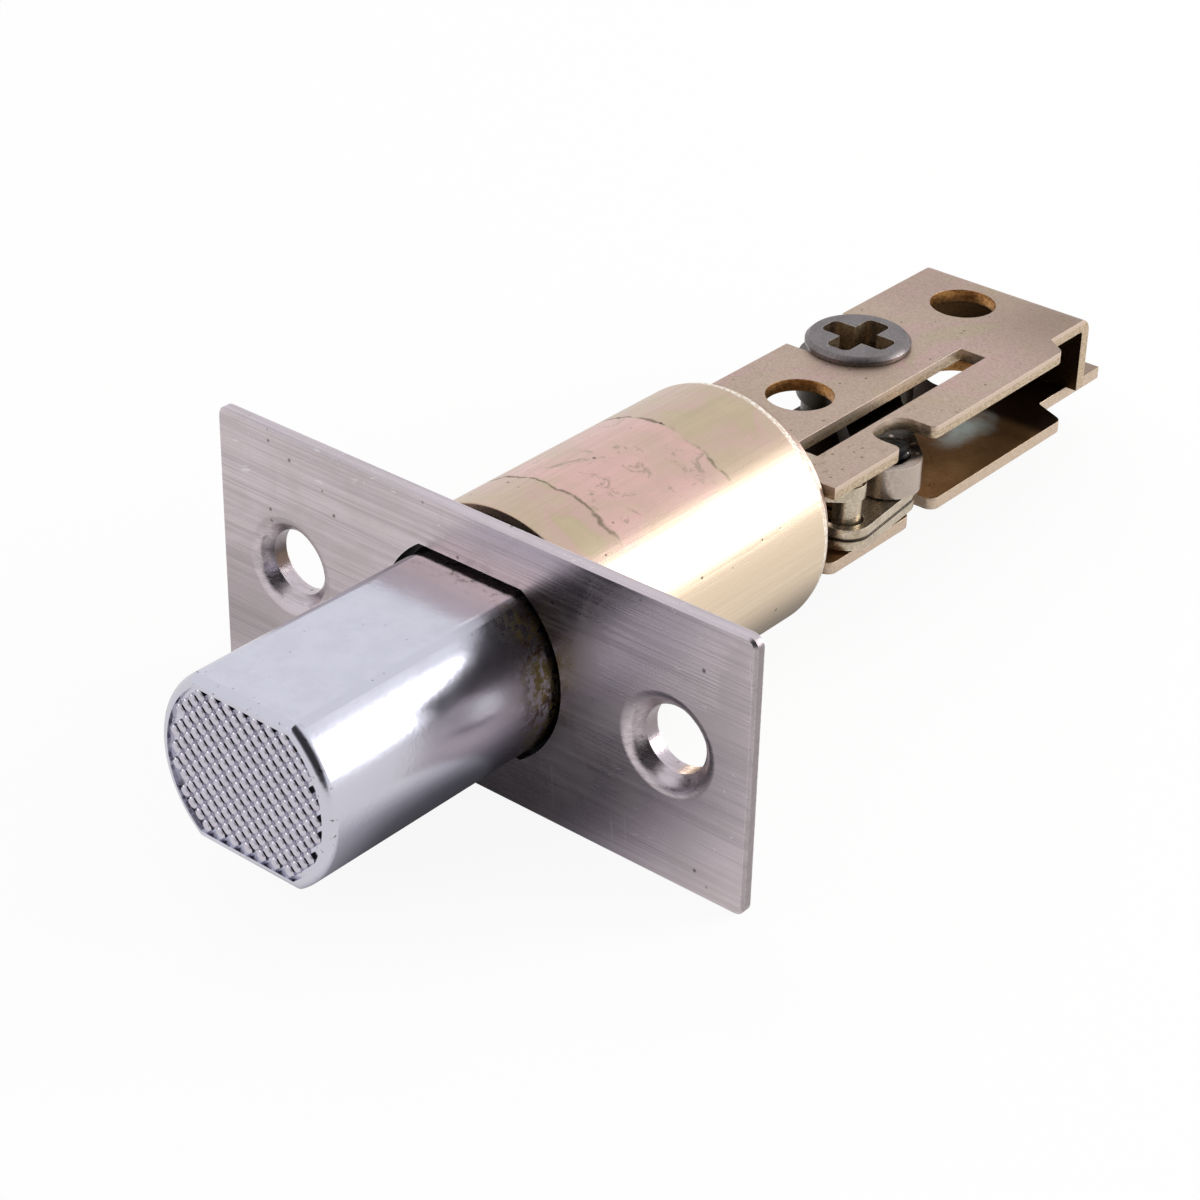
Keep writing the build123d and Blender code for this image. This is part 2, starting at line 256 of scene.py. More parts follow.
def add(kind, inputs=None, tree=None, **settings):
    """Add a node to a tree, or else to the tree of its inputs, and set or join its sockets."""
    inputs = inputs or {}
    sources = (value for value in inputs.values() if isinstance(value, bpy.types.NodeSocket))
    node = (tree or next(sources).id_data).nodes.new(kind)
    for name, value in settings.items():
        setattr(node, name, value)
    for key, value in inputs.items():
        feed(node.inputs[key], value)
    return node


def maths(operation, first, second=0.0):
    return add("ShaderNodeMath", {0: first, 1: second}, operation=operation).outputs[0]


def chained(operation):
    """A function that takes two or more values through one operation, in their order."""
    def chain(total, *values):
        for value in values:
            total = maths(operation, total, value)
        return total
    return chain


times, plus, minus, larger = map(chained, ("MULTIPLY", "ADD", "SUBTRACT", "MAXIMUM"))


def magnitude(value):
    return maths("ABSOLUTE", value)


def between(value, low, high, start=0.0, end=1.0):
    """A smooth step of a value from start at low to end at high."""
    inputs = {"Value": value, "From Min": low, "From Max": high, "To Min": start, "To Max": end}
    return add("ShaderNodeMapRange", inputs, interpolation_type="SMOOTHSTEP").outputs[0]


def opaque(shade):
    """A colour with its alpha, or the socket that gives one."""
    return shade if isinstance(shade, bpy.types.NodeSocket) else (*shade, 1.0)


def mixed(factor, first, second, blend_type="MIX"):
    inputs = {0: factor, 6: opaque(first), 7: opaque(second)}
    return add("ShaderNodeMix", inputs, data_type="RGBA", blend_type=blend_type).outputs[2]


def painted(base, *layers):
    """Lay colours over a base in their order, each through its mask at its strength."""
    for mask, strength, shade in layers:
        amount = mask if strength == 1.0 else times(mask, strength)
        base = mixed(amount, base, shade)
    return base


def noise(vector, scale, detail=3.0, roughness=0.55, distortion=0.0):
    inputs = {
        "Vector": vector,
        "Scale": scale,
        "Detail": detail,
        "Roughness": roughness,
        "Distortion": distortion,
    }
    return add("ShaderNodeTexNoise", inputs).outputs["Fac"]


def stretched(vector, scale, turn=(0.0, 0.0, 0.0), offset=(0.0, 0.0, 0.0)):
    inputs = {"Vector": vector, "Scale": scale, "Rotation": turn, "Location": offset}
    return add("ShaderNodeMapping", inputs).outputs[0]


def banded(value, stops):
    """A colour ramp from a list of positions and colours."""
    node = add("ShaderNodeValToRGB", {"Fac": value})
    elements = node.color_ramp.elements
    while len(elements) < len(stops):
        elements.new(0.5)
    for element, (position, shade) in zip(elements, stops):
        element.position = position
        element.color = opaque(shade)
    return node.outputs["Color"]


def split(vector):
    return add("ShaderNodeSeparateXYZ", {"Vector": vector}).outputs


def length_of(vector):
    return add("ShaderNodeVectorMath", {0: vector}, operation="LENGTH").outputs["Value"]


def dot(first, second):
    inputs = {0: first, 1: second}
    return add("ShaderNodeVectorMath", inputs, operation="DOT_PRODUCT").outputs["Value"]


def geometry_normal(where):
    return add("ShaderNodeNewGeometry", tree=where.id_data).outputs["Normal"]


def facing(where):
    """How much a face looks up or down, 1 for level faces and 0 for upright walls."""
    return magnitude(split(geometry_normal(where))[2])


def from_above(where, middle, reach=(1.0, 1.0)):
    """Distance from an upright line, as a share of its reach to the sides and along the latch."""
    scale = (1.0 / reach[0], 1.0 / reach[1], 0.0)
    offset = (-middle[0] / reach[0], -middle[1] / reach[1], 0.0)
    return length_of(stretched(where, scale, offset=offset))


def near_axis(where, middle, radius, softness):
    """1 within the radius of an upright line, and 0 outside."""
    return between(from_above(where, middle), radius, radius + softness, 1.0, 0.0)


def shaded_spot(where, middle, reach, darkest, start, end):
    """Brightness of the floor round a shaded spot, from darkest in its middle to 1 outside it."""
    return between(from_above(where, middle, reach), start, end, darkest, 1.0)


# Effects that materials share, each one a node group that is built once

VALUE, VECTOR, COLOUR = "NodeSocketFloat", "NodeSocketVector", "NodeSocketColor"


def shared_group(name, inputs, outputs, build):
    """Make a node group once: its sockets, and what build puts between them."""
    if name in bpy.data.node_groups:
        return bpy.data.node_groups[name]
    tree = bpy.data.node_groups.new(name, "ShaderNodeTree")
    tree.interface.new_socket(name="Vector", in_out="INPUT", socket_type=VECTOR)
    for label, kind, default in inputs:
        socket = tree.interface.new_socket(name=label, in_out="INPUT", socket_type=kind)
        socket.default_value = default
    for label, kind in outputs:
        tree.interface.new_socket(name=label, in_out="OUTPUT", socket_type=kind)
    entry = tree.nodes.new("NodeGroupInput").outputs
    add("NodeGroupOutput", build(entry))
    return tree


def use(group, *values):
    """Place a shared group beside its first value, with values for its inputs in their order."""
    node = values[0].id_data.nodes.new("ShaderNodeGroup")
    node.node_tree = group
    for socket, value in zip(node.inputs, values):
        feed(socket, value)
    return node.outputs


def pits(where, scale, size, rarity):
    """Small round pits or specks: a cell has one only if its random number is high enough."""
    def build(entry):
        inputs = {"Vector": entry["Vector"], "Scale": entry["Scale"]}
        cells = add("ShaderNodeTexVoronoi", inputs).outputs
        chosen = maths("GREATER_THAN", split(cells["Color"])[0], entry["Rarity"])
        edge = times(entry["Size"], 0.45)
        inputs = {"Value": cells["Distance"], "From Min": edge, "From Max": entry["Size"]}
        inputs.update({"To Min": 1.0, "To Max": 0.0})
        near = add("ShaderNodeMapRange", inputs).outputs[0]
        return {"Mask": times(near, chosen)}
    inputs = [("Scale", VALUE, 900.0), ("Size", VALUE, 0.2), ("Rarity", VALUE, 0.8)]
    group = shared_group("Pits and specks", inputs, [("Mask", VALUE)], build)
    return use(group, where, scale, size, rarity)["Mask"]


def scratches(where, scale, cut):
    """Fine straight scratches in three directions, each one broken up along its length."""
    def build(entry):
        vector, scale, cut = entry["Vector"], entry["Scale"], entry["Cut"]
        total = None
        for turn, offset in ((0.35, 0.0), (-0.9, 3.1), (1.9, 7.7)):
            turns = (turn, turn * 0.7, turn)
            along = stretched(vector, (1.0, 1.0, 1.0), turns, (offset,) * 3)
            lines = noise(stretched(along, (0.035, 1.0, 1.0)), scale, 2.0)
            line = between(lines, cut, plus(cut, 0.05))
            total = line if total is None else larger(total, line)
        patches = between(noise(vector, times(scale, 0.12)), 0.42, 0.6)
        return {"Mask": times(total, patches)}
    inputs = [("Scale", VALUE, 1500.0), ("Cut", VALUE, 0.66)]
    group = shared_group("Fine scratches", inputs, [("Mask", VALUE)], build)
    return use(group, where, scale, cut)["Mask"]


def brushed_lines(where, scale):
    """Brushing lines along the first axis of the vector: fine lines, and wider streaks of shade."""
    def build(entry):
        vector, scale = entry["Vector"], entry["Scale"]
        fine = noise(stretched(vector, (0.012, 1.0, 1.0)), scale, 4.0, 0.7)
        coarse = times(scale, 0.3)
        wide = noise(stretched(vector, (0.02, 1.0, 1.0)), coarse, 2.0)
        return {"Height": fine, "Streaks": times(wide, fine)}
    outputs = [("Height", VALUE), ("Streaks", VALUE)]
    group = shared_group("Brushing lines", [("Scale", VALUE, 4000.0)], outputs, build)
    return use(group, where, scale)


def passivation(where, scale, ground):
    """Thin film on zinc: its colour drifts between tan, pink, olive and gold."""
    def build(entry):
        vector, scale = entry["Vector"], entry["Scale"]
        drift = noise(vector, scale, 3.0, 0.6, 0.8)
        moved = stretched(vector, (1.0, 1.0, 1.0), offset=(4.0, 1.0, 2.0))
        cloud = noise(moved, times(scale, 2.7), 4.0)
        shade = banded(drift, [
            (0.28, (0.56, 0.43, 0.24)),
            (0.40, (0.55, 0.43, 0.31)),
            (0.50, (0.58, 0.44, 0.34)),
            (0.58, (0.61, 0.40, 0.37)),
            (0.66, (0.50, 0.43, 0.26)),
            (0.78, (0.60, 0.51, 0.30)),
        ])
        amount = between(cloud, 0.3, 0.7, 0.0, 0.35)
        return {"Color": mixed(amount, shade, entry["Ground"])}
    inputs = [("Scale", VALUE, 60.0), ("Ground", COLOUR, (0.5, 0.42, 0.32, 1.0))]
    group = shared_group("Passivation film", inputs, [("Color", COLOUR)], build)
    return use(group, where, scale, opaque(ground))["Color"]


def metal_grain(where, scale):
    """Fine even grain of rolled or cast metal."""
    def build(entry):
        vector, scale = entry["Vector"], entry["Scale"]
        fine = noise(vector, scale, 5.0, 0.65)
        lumps = noise(vector, times(scale, 0.22), 2.0)
        height = plus(times(fine, 0.6), times(lumps, 0.4))
        return {"Height": height, "Tint": between(fine, 0.32, 0.68)}
    outputs = [("Height", VALUE), ("Tint", VALUE)]
    group = shared_group("Metal grain", [("Scale", VALUE, 5000.0)], outputs, build)
    return use(group, where, scale)


def worn_and_glinting_edges(where, width):
    """Worn edges with a painted glint: bright where a rounded normal leaves the real one."""
    def build(entry):
        soft = add("ShaderNodeBevel", {"Radius": entry["Width"]}, samples=6).outputs[0]
        same = dot(soft, geometry_normal(entry["Vector"]))
        # Wear and a painted glint along the edges
        wear_and_glint = between(minus(1.0, same), 0.015, 0.12)
        broken = between(noise(entry["Vector"], 2600.0, 3.0), 0.34, 0.56)
        return {"Mask": times(wear_and_glint, broken)}
    group = shared_group("Worn and glinting edges", [("Width", VALUE, 0.00018)], [("Mask", VALUE)], build)
    return use(group, where, width)["Mask"]


# Materials

def new_material(name):
    """An empty material, and the place of each point on the piece."""
    material = bpy.data.materials.new(name)
    material.use_nodes = True
    tree = material.node_tree
    tree.nodes.clear()
    return material, add("ShaderNodeTexCoord", tree=tree).outputs["Object"]


def metal(base, roughness, height, strength, distance=BUMPS, metallic=1.0):
    """The surface shader with a bump, joined to the output."""
    inputs = {"Height": height, "Strength": strength, "Distance": distance}
    bump = add("ShaderNodeBump", inputs).outputs[0]
    inputs = {"Base Color": base, "Roughness": roughness, "Metallic": metallic, "Normal": bump}
    shader = add("ShaderNodeBsdfPrincipled", inputs)
    add("ShaderNodeOutputMaterial", {"Surface": shader.outputs[0]})
    return shader


def chrome_material(sizes):
    """Bright plating: mirrored sides, matt flats, chips in front and stains at the faceplate; near
    it, a painted warm reflection on the flats and painted shade on the sides.
    """
    material, where = new_material("bolt chrome")
    x, y, _ = split(where)
    level = between(facing(where), 0.96, 0.995)
    pitted = pits(where, 1500.0, 0.16, 0.9)
    blots = noise(where, 1300.0, 5.0, 0.75)
    root = between(y, -0.0052, -0.0012)
    side = between(x, 0.0040, 0.0068)
    stain = times(root, side, between(blots, 0.42, 0.56))
    olive_or_brown = between(noise(where, 420.0, 3.0), 0.42, 0.58)
    stain_colour = mixed(olive_or_brown, (0.20, 0.15, 0.03), (0.07, 0.035, 0.015))
    dust = times(between(y, -0.0030, -0.0008), between(blots, 0.55, 0.62))
    front = between(y, BOLT_LOW.y + RECESS, BOLT_LOW.y + 4 * RECESS, 1.0, 0.0)
    chips = times(front, between(noise(where, 1900.0, 4.0, 0.7), 0.63, 0.67))
    # Painted warm reflection on the flats near the faceplate
    painted_root_reflection = times(between(y, -0.0075, -0.0010, 0.0, 0.85), level)
    # Painted shade on the round sides near the faceplate
    painted_root_shade = times(between(y, -0.0090, -0.0020, 0.0, 0.65), minus(1.0, level))
    cloudy = between(noise(where, 420.0, 5.0, 0.7), 0.35, 0.65)
    base = painted(
        sizes.chrome_colour,
        (level, 1.0, mixed(cloudy, (0.60, 0.60, 0.68), (0.64, 0.64, 0.72))),
        (painted_root_reflection, 1.0, (0.88, 0.77, 0.75)),
        (painted_root_shade, 1.0, (0.13, 0.11, 0.115)),
        (pitted, 0.6, (0.25, 0.24, 0.26)),
        (scratches(where, 2600.0, 0.7), 0.25, (0.9, 0.9, 0.95)),
        (stain, 1.0, stain_colour),
        (dust, 0.7, (0.16, 0.13, 0.11)),
        (chips, 0.8, (0.10, 0.09, 0.09)),
    )
    rough = between(noise(where, 260.0, 3.0), 0.3, 0.7, 0.19, 0.24)
    rough = plus(minus(rough, times(level, 0.03)), times(stain, 0.3))
    peel = noise(where, 2600.0, 2.0, 0.4)
    lines = noise(stretched(where, (0.25, 1.0, 0.25)), 5200.0, 3.0)
    height = plus(peel, times(lines, 0.05))
    metal(base, rough, minus(height, times(pitted, 0.8)), 0.22)
    return material


def pattern_material():
    """Struck pattern: light tops, painted black shade on the walls to the upper right, and a
    painted white glint on each upper corner.
    """
    material, where = new_material("bolt end pattern")
    across, _, up = split(geometry_normal(where))
    slant = times(plus(across, up), math.sqrt(0.5))
    upward = minus(up, magnitude(across))
    dust = noise(where, 900.0, 4.0)
    base = painted(
        (0.57, 0.55, 0.63),
        (between(dust, 0.35, 0.7, 0.0, 0.5), 1.0, (0.49, 0.47, 0.53)),
        (pits(where, 170.0, 0.22, 0.93), 1.0, (0.30, 0.23, 0.15)),
        # Painted shade: walls facing the upper right are coloured black
        (between(slant, 0.74, 0.84), 1.0, (0.015, 0.014, 0.016)),
        # Painted glint: upward corner facets are coloured white
        (between(upward, 0.38, 0.50), 1.0, (0.98, 0.98, 1.0)),
    )
    rough = between(dust, 0.3, 0.7, 0.10, 0.22)
    metal(base, rough, noise(where, 5200.0, 3.0), 0.15, distance=0.00002)
    return material


def stainless_material(sizes):
    """Brushed plate: streaks, scratches, nicks, bright edges of wear and painted glint, and darker
    end walls.
    """
    material, where = new_material("brushed stainless")
    brushed = brushed_lines(where, 4200.0)
    scratched = scratches(where, 1700.0, 0.69)
    nicks = pits(where, 800.0, 0.18, 0.93)
    smear = between(noise(where, 130.0, 4.0, 0.6, 1.2), 0.42, 0.66)
    sideways = magnitude(split(geometry_normal(where))[0])
    base = painted(
        sizes.steel_colour,
        (between(brushed["Streaks"], 0.18, 0.36, 0.0, 0.6), 1.0, (0.43, 0.38, 0.40)),
        (smear, 0.25, (0.46, 0.42, 0.41)),
        (scratched, 0.45, (0.80, 0.78, 0.80)),
        (nicks, 0.8, (0.10, 0.09, 0.09)),
        (between(sideways, 0.6, 0.8), 0.7, (0.20, 0.17, 0.18)),
        # Bright edges: wear and a painted glint
        (worn_and_glinting_edges(where, 0.0002), 0.7, (0.80, 0.77, 0.80)),
    )
    rough = between(brushed["Height"], 0.3, 0.7, 0.20, 0.34)
    rough = plus(rough, times(smear, 0.08))
    height = minus(brushed["Height"], times(scratched, 0.5), nicks)
    metal(base, rough, height, 0.45)
    return material


def tube_material(sizes):
    """Passivated tube: drifting tints, a painted pale sheen on its right and lower side, a painted
    pale highlight on the lip, painted shade inside, and the pinkish mark of a removed label.
    """
    material, where = new_material("passivated tube")
    x, y, z = split(where)
    turn = maths("ARCTAN2", z, x)
    wobble = times(minus(noise(where, 330.0, 4.0), 0.5), 0.0022)
    shaken = plus(y, wobble)
    start, end = sizes.label_start, sizes.label_end
    from_start, from_end = (magnitude(minus(shaken, place)) for place in (start, end))
    edge = maths("MINIMUM", from_start, from_end)
    over = times(between(turn, 0.75, 1.0), between(turn, 2.0, 2.3, 1.0, 0.0))
    broken = between(noise(where, 520.0, 4.0), 0.34, 0.50)
    residue = times(between(edge, 0.0, 0.00030, 1.0, 0.0), broken, over)
    after_start = between(shaken, start, start + 0.0004)
    before_end = between(shaken, end - 0.0004, end, 1.0, 0.0)
    label = times(after_start, before_end, over)
    film = passivation(where, 115.0, sizes.tube_colour)
    film = mixed(0.30, film, sizes.tube_colour)
    streaks = noise(stretched(where, (1.0, 0.02, 1.0)), 2600.0, 4.0, 0.7)
    pitted = pits(where, 640.0, 0.13, 0.76)
    blots = between(noise(where, 330.0, 5.0, 0.75, 1.5), 0.575, 0.62)
    # Painted sheen: paler towards the right and underneath, by angle round the axis
    pale = mixed(between(turn, 0.2, 1.0, 1.0, 0.0), film, (0.82, 0.67, 0.50))
    faded = between(noise(where, 210.0, 3.0), 0.40, 0.7, 0.0, 0.7)
    pink = mixed(faded, (0.76, 0.48, 0.45), film)
    # Painted highlight: a pale speckled band along the rolled lip
    lip = between(y, TUBE_HIGH.y - 0.0015, TUBE_HIGH.y - 0.0012)
    speckled = between(noise(where, 3000.0, 3.0), 0.4, 0.6)
    base = painted(
        pale,
        (label, 0.85, pink),
        (between(streaks, 0.3, 0.7, 0.0, 0.22), 1.0, (0.46, 0.37, 0.27)),
        (residue, 0.75, (0.17, 0.14, 0.10)),
        (blots, times(label, 0.5), (0.28, 0.24, 0.18)),
        (pitted, 0.9, (0.05, 0.04, 0.035)),
        (lip, 0.9, mixed(speckled, (0.72, 0.60, 0.47), (1.0, 0.95, 0.87))),
    )
    from_axis = length_of(stretched(where, (1.0, 0.0, 1.0)))
    # Painted shade inside the tube
    base = mixed(between(from_axis, *TUBE_WALL), (0.20, 0.16, 0.12), base)
    rough = between(streaks, 0.3, 0.7, 0.24, 0.36)
    rough = plus(rough, times(lip, 0.2), times(residue, 0.3))
    height = plus(streaks, times(residue, 1.4))
    metal(base, rough, minus(height, times(pitted, 1.5)), 0.3)
    return material


def sheet_material(sizes):
    """Passivated sheet: rolled faces, sheared edges, rusty hole walls, and painted shade on the
    faces inside.
    """
    material, where = new_material("passivated sheet")
    x, y, z = split(where)
    normal = split(geometry_normal(where))
    level = between(magnitude(normal[2]), 0.35, 0.75)
    sideways = between(magnitude(normal[0]), 0.5, 0.8)
    grain = metal_grain(where, 4200.0)
    pitted = pits(where, 900.0, 0.16, 0.72)
    film = mixed(0.38, passivation(where, 70.0, sizes.sheet_colour), sizes.sheet_colour)
    rear = between(y, PLATE_HIGH.y - 0.0160, PLATE_HIGH.y - 0.0030)
    freckles = between(noise(where, 520.0, 5.0, 0.75), 0.60, 0.70)
    top = painted(
        film,
        (between(grain["Tint"], 0.2, 0.9, 0.0, 0.25), 1.0, (0.32, 0.24, 0.17)),
        (pitted, 0.75, (0.07, 0.05, 0.035)),
        (scratches(where, 1500.0, 0.70), 0.3, (0.66, 0.58, 0.50)),
        (rear, between(x, -0.0020, 0.0070, 0.35, 0.95), (0.33, 0.24, 0.18)),
        (freckles, between(x, 0.0015, 0.0060, 0.15, 0.65), (0.22, 0.14, 0.08)),
    )

    # Sheared walls: a smooth bright upper band, and a rougher torn band below it
    torn = noise(stretched(where, (0.5, 0.5, 1.0)), 5200.0, 4.0, 0.65)
    ragged = times(minus(noise(where, 2400.0, 2.0), 0.5), 0.0003)
    on_wall = plus(z, ragged)
    band = between(on_wall, PLATE_HIGH.z - 0.00055, PLATE_HIGH.z - 0.00042)
    low_band = between(z, -PLATE_HIGH.z, -0.0030, 0.65, 0.45)
    band = larger(band, times(maths("LESS_THAN", z, -0.0031), low_band))
    wall = mixed(between(torn, 0.36, 0.62), (0.43, 0.32, 0.20), (0.64, 0.52, 0.38))
    rust = mixed(between(torn, 0.3, 0.7), (0.30, 0.13, 0.04), (0.66, 0.36, 0.13))
    rings = [near_axis(where, (sizes.hole_line, along), radius=0.0034, softness=0.0001)
             for along in (sizes.first_hole, sizes.second_hole)]
    wall = painted(
        wall,
        (band, 1.0, (0.66, 0.52, 0.42)),
        (pits(where, 4600.0, 0.36, 0.60), 0.45, (1.0, 0.93, 0.80)),
        (larger(*rings), 1.0, rust),
    )
    base = mixed(level, wall, top)
    # Bright edges: wear and a painted glint
    edge_wear_and_glint = times(worn_and_glinting_edges(where, 0.00016), 0.5)
    base = mixed(edge_wear_and_glint, base, (0.70, 0.61, 0.50))

    # Inside the bracket: painted shade, blotchy and darker still deeper in, with one iridescent
    # patch
    low = between(magnitude(z), *PLATE_INSIDE, 1.0, 0.0)
    before_wall = between(y, PLATE_HIGH.y - 0.0007, PLATE_HIGH.y - 0.0005, 1.0, 0.0)
    # Painted shade on the faces inside the bracket, multiplied over their colour
    inside = times(low, before_wall, minus(1.0, sideways))
    blotches = between(noise(where, 240.0, 3.0, 0.6), 0.35, 0.65)
    inside_shade = mixed(blotches, (0.56, 0.37, 0.16), (0.78, 0.58, 0.30))
    # Painted shade, darker deeper inside the bracket
    deeper_shade = larger(between(y, 0.0685, 0.0705), between(x, -0.0010, 0.0015, 1.0, 0.0))
    inside_shade = mixed(deeper_shade, inside_shade, (0.09, 0.055, 0.025))
    base = mixed(inside, base, mixed(1.0, base, inside_shade, "MULTIPLY"))
    reach = from_above(where, middle=(0.0046, 0.0653), reach=(0.0021, 0.0040))
    reach = plus(reach, times(minus(blotches, 0.5), 0.5))
    patch = times(between(reach, 0.10, 1.25, 0.90, 0.0), times(inside, level))
    patch = times(patch, maths("LESS_THAN", z, 0.0))
    base = mixed(patch, base, (0.85, 1.0, 0.97))
    rough = between(grain["Tint"], 0.0, 1.0, 0.34, 0.5)
    height = minus(grain["Height"], times(pitted, 0.8))
    metal(base, rough, mixed(level, torn, height), 0.4, metallic=0.92)
    return material


def cast_material(name, face, dark, bright, rough, shades=None):
    """Cast or stamped metal with grain, dark pores and bright edges of wear and painted glint.

    Rough holds its lowest and highest roughness, and shades may change its colour by place."""
    material, where = new_material(name)
    grain = metal_grain(where, 3600.0)
    pitted = pits(where, 1100.0, 0.16, 0.82)
    base = painted(
        face,
        (between(grain["Tint"], 0.0, 1.0, 0.0, 0.3), 1.0, dark),
        (between(noise(where, 380.0, 5.0, 0.65), 0.45, 0.68), 0.5, dark),
        (pitted, 0.7, (0.05, 0.045, 0.045)),
        (scratches(where, 1900.0, 0.68), 0.4, bright),
        # Bright edges: wear and a painted glint
        (worn_and_glinting_edges(where, 0.00022), 0.85, bright),
    )
    if shades:
        base = shades(where, base)
    height = minus(grain["Height"], times(pitted, 0.9))
    metal(base, between(grain["Tint"], 0.0, 1.0, *rough), height, 0.4, metallic=0.95)
    return material


def hub_shades(where, base):
    """Painted shade between the plates, the arm's eye painted lighter and warmer, greasy round the
    pin, and a darker head with a brown socket.
    """
    x, _, z = split(where)
    above_plates = between(z, 0.0030, 0.0034)
    head = times(near_axis(where, HUB_AXIS, radius=0.0060, softness=0.0010), above_plates)
    upright = between(facing(where), 0.3, 0.6, 1.0, 0.0)
    socket = times(near_axis(where, HUB_AXIS, radius=0.0034, softness=0.0004), upright)
    between_plates = between(magnitude(z), 0.0030, 0.0033, 1.0, 0.0)
    left = between(x, 0.0030, 0.0055, 1.0, 0.0)
    # Painted shade on the hub where the plates cover it
    painted_covered_shade = times(between_plates, left, minus(1.0, socket))
    # Painted light: the arm's eye is made lighter and warmer
    painted_lit_eye = between(x, ARM_EYE - 0.0020, ARM_EYE, 0.0, 0.65)
    beside_pin = (PIN_AXIS.x - 0.0008, PIN_AXIS.y + 0.0017)
    spread = near_axis(where, beside_pin, radius=0.0031, softness=0.0009)
    broken = between(noise(where, 900.0, 4.0), 0.26, 0.42)
    greasy = times(spread, broken, minus(1.0, upright))
    return painted(
        base,
        (head, 0.55, (0.10, 0.09, 0.10)),
        (socket, 1.0, (0.64, 0.49, 0.32)),
        (painted_covered_shade, 1.0, (0.020, 0.015, 0.010)),
        (painted_lit_eye, 1.0, (0.60, 0.50, 0.42)),
        (greasy, 1.0, (0.02, 0.017, 0.015)),
    )


def link_shades(where, base):
    """A painted dark line of shade in the gap where the two links lie on each other."""
    off = magnitude(minus(split(where)[2], LINK_JOINT))
    upright = between(facing(where), 0.6, 0.9, 1.0, 0.0)
    # Painted shade in the gap between the two links
    line = times(between(off, 0.00010, 0.00024, 1.0, 0.0), upright)
    return mixed(line, base, (0.035, 0.027, 0.018))


def grease_material():
    """Black grease with pale specks of painted glint."""
    material, where = new_material("dark grease")
    thick = noise(where, 1500.0, 3.0)
    # Painted glints: pale specks standing in for reflections of the lights
    specks = pits(where, 2300.0, 0.28, 0.86)
    base = mixed(between(thick, 0.35, 0.65), (0.004, 0.004, 0.005), (0.016, 0.012, 0.011))
    base = mixed(specks, base, (0.75, 0.66, 0.58))
    rough = between(thick, 0.3, 0.7, 0.10, 0.28)
    shader = metal(base, rough, thick, 0.5, distance=0.00006, metallic=0.0)
    shader.inputs["Specular IOR Level"].default_value = 0.07
    return material


def floor_material(sizes):
    """Pale floor: white to the camera, shaded near the object in reflections, shadow kept."""
    material, where = new_material("studio floor")
    paths = add("ShaderNodeLightPath", tree=where.id_data).outputs
    glossy = paths["Is Glossy Ray"]
    base = mixed(noise(where, 3.0, 2.0), (0.80, 0.80, 0.80), (0.84, 0.84, 0.84))
    paper = add("ShaderNodeBsdfDiffuse", {"Color": base})
    under_bolt = shaded_spot(where, middle=(0.002, -0.006), reach=(0.0135, 0.013),
                             darkest=0.14, start=0.5, end=1.9)
    under_tube = shaded_spot(where, middle=(0.0, 0.035), reach=(0.014, 0.050),
                             darkest=0.25, start=0.5, end=1.4)
    left_end = shaded_spot(where, middle=(-0.036, -0.008), reach=(0.010, 0.008),
                           darkest=0.66, start=0.4, end=1.8)
    mirrored = times(under_bolt, under_tube, left_end, sizes.floor_mirrored)
    tint = mixed(under_bolt, (0.90, 0.88, 1.0), (1.0, 0.98, 0.97))
    level = add("ShaderNodeMix", {0: glossy, 2: sizes.floor_glow, 3: mirrored}).outputs[0]
    shown = mixed(glossy, (1.0, 1.0, 1.0), tint)
    glow = add("ShaderNodeEmission", {"Color": shown, "Strength": level})
    seen = larger(paths["Is Camera Ray"], paths["Is Transmission Ray"])
    seen = times(seen, minus(1.0, glossy), sizes.floor_white)
    inputs = {0: larger(seen, glossy), 1: paper.outputs[0], 2: glow.outputs[0]}
    blend = add("ShaderNodeMixShader", inputs)
    add("ShaderNodeOutputMaterial", {"Surface": blend.outputs[0]})
    return material


# Sizes and colours that a user would change

def length(name, description, default):
    return FloatProperty(name=name, description=description, default=default, unit="LENGTH")


def share(name, description, default, low=0.0, high=1.0):
    return FloatProperty(name=name, description=description, default=default, min=low, max=high)


def tone(name, description, default):
    return FloatVectorProperty(
        name=name, description=description, default=default, subtype="COLOR", min=0.0, max=1.0)


class BoltSettings(bpy.types.PropertyGroup):
    chrome_colour: tone("Chrome colour", "Colour of the plated bolt", (0.60, 0.60, 0.68))
    pad_pitch: length(
        "Pad pitch", "Distance between rows of pads, along the rows' diagonal", 0.001055)
    pad_size: length("Pad size", "Width of a pad at its foot", 0.00101)
    pad_length: length("Pad length", "Length of a pad at its foot", 0.00105)
    pad_corner: share(
        "Pad corner", "Share of a pad's width that is cut off each corner", 0.26, 0.05, 0.45)
    pad_height: length("Pad height", "Height of a pad above the recess", 0.00034)
    pad_taper: share("Pad taper", "Share of a pad's width left at its top", 0.74, 0.2)
    pad_taper_along: share("Pad taper along", "Share of a pad's length left at its top", 0.93, 0.2)
    pad_edge: length("Pad edge", "Bevel round the top of a pad", 0.00009)
    rim: length("Rim", "Plain land round the pattern", 0.00105)
    edge: length("Edge rounding", "Rounding of the bolt's sharp edges", 0.00014)
    long_edge: length(
        "Long edge rounding", "Rounding of the bolt's long edges beside its flats", 0.00060)
    flat: length("Flat", "Height of the bolt's flats over its axis", 0.0075)
    radius: length("Radius", "Radius of the bolt's round sides", 0.0092)


